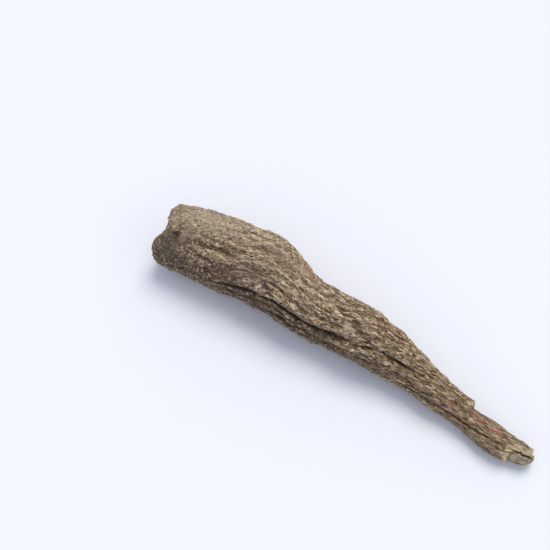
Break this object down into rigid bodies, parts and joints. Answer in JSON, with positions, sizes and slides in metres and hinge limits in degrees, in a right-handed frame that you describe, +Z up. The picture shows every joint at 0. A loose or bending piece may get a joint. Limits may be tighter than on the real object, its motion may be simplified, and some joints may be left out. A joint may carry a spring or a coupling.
{
  "type": "dried burdock root",
  "caption": "Whole dried burdock root lying on its side: blunt lobed crown, long winding furrow, tapering tail with a broken end and bare core.",
  "frame": {"origin": "on the surface the root lies on, under the middle of its bounding box", "axes": "+X along the root from the crown to the tail, +Z up, away from the surface it lies on"},
  "size_m": [0.1198, 0.0246, 0.019],
  "materials": {
    "bark": "matte wrinkled dry bark with a straw-coloured broken tail end"
  },
  "bodies": {
    "root": {"burdock_root": "bark"}
  },
  "joints": []
}
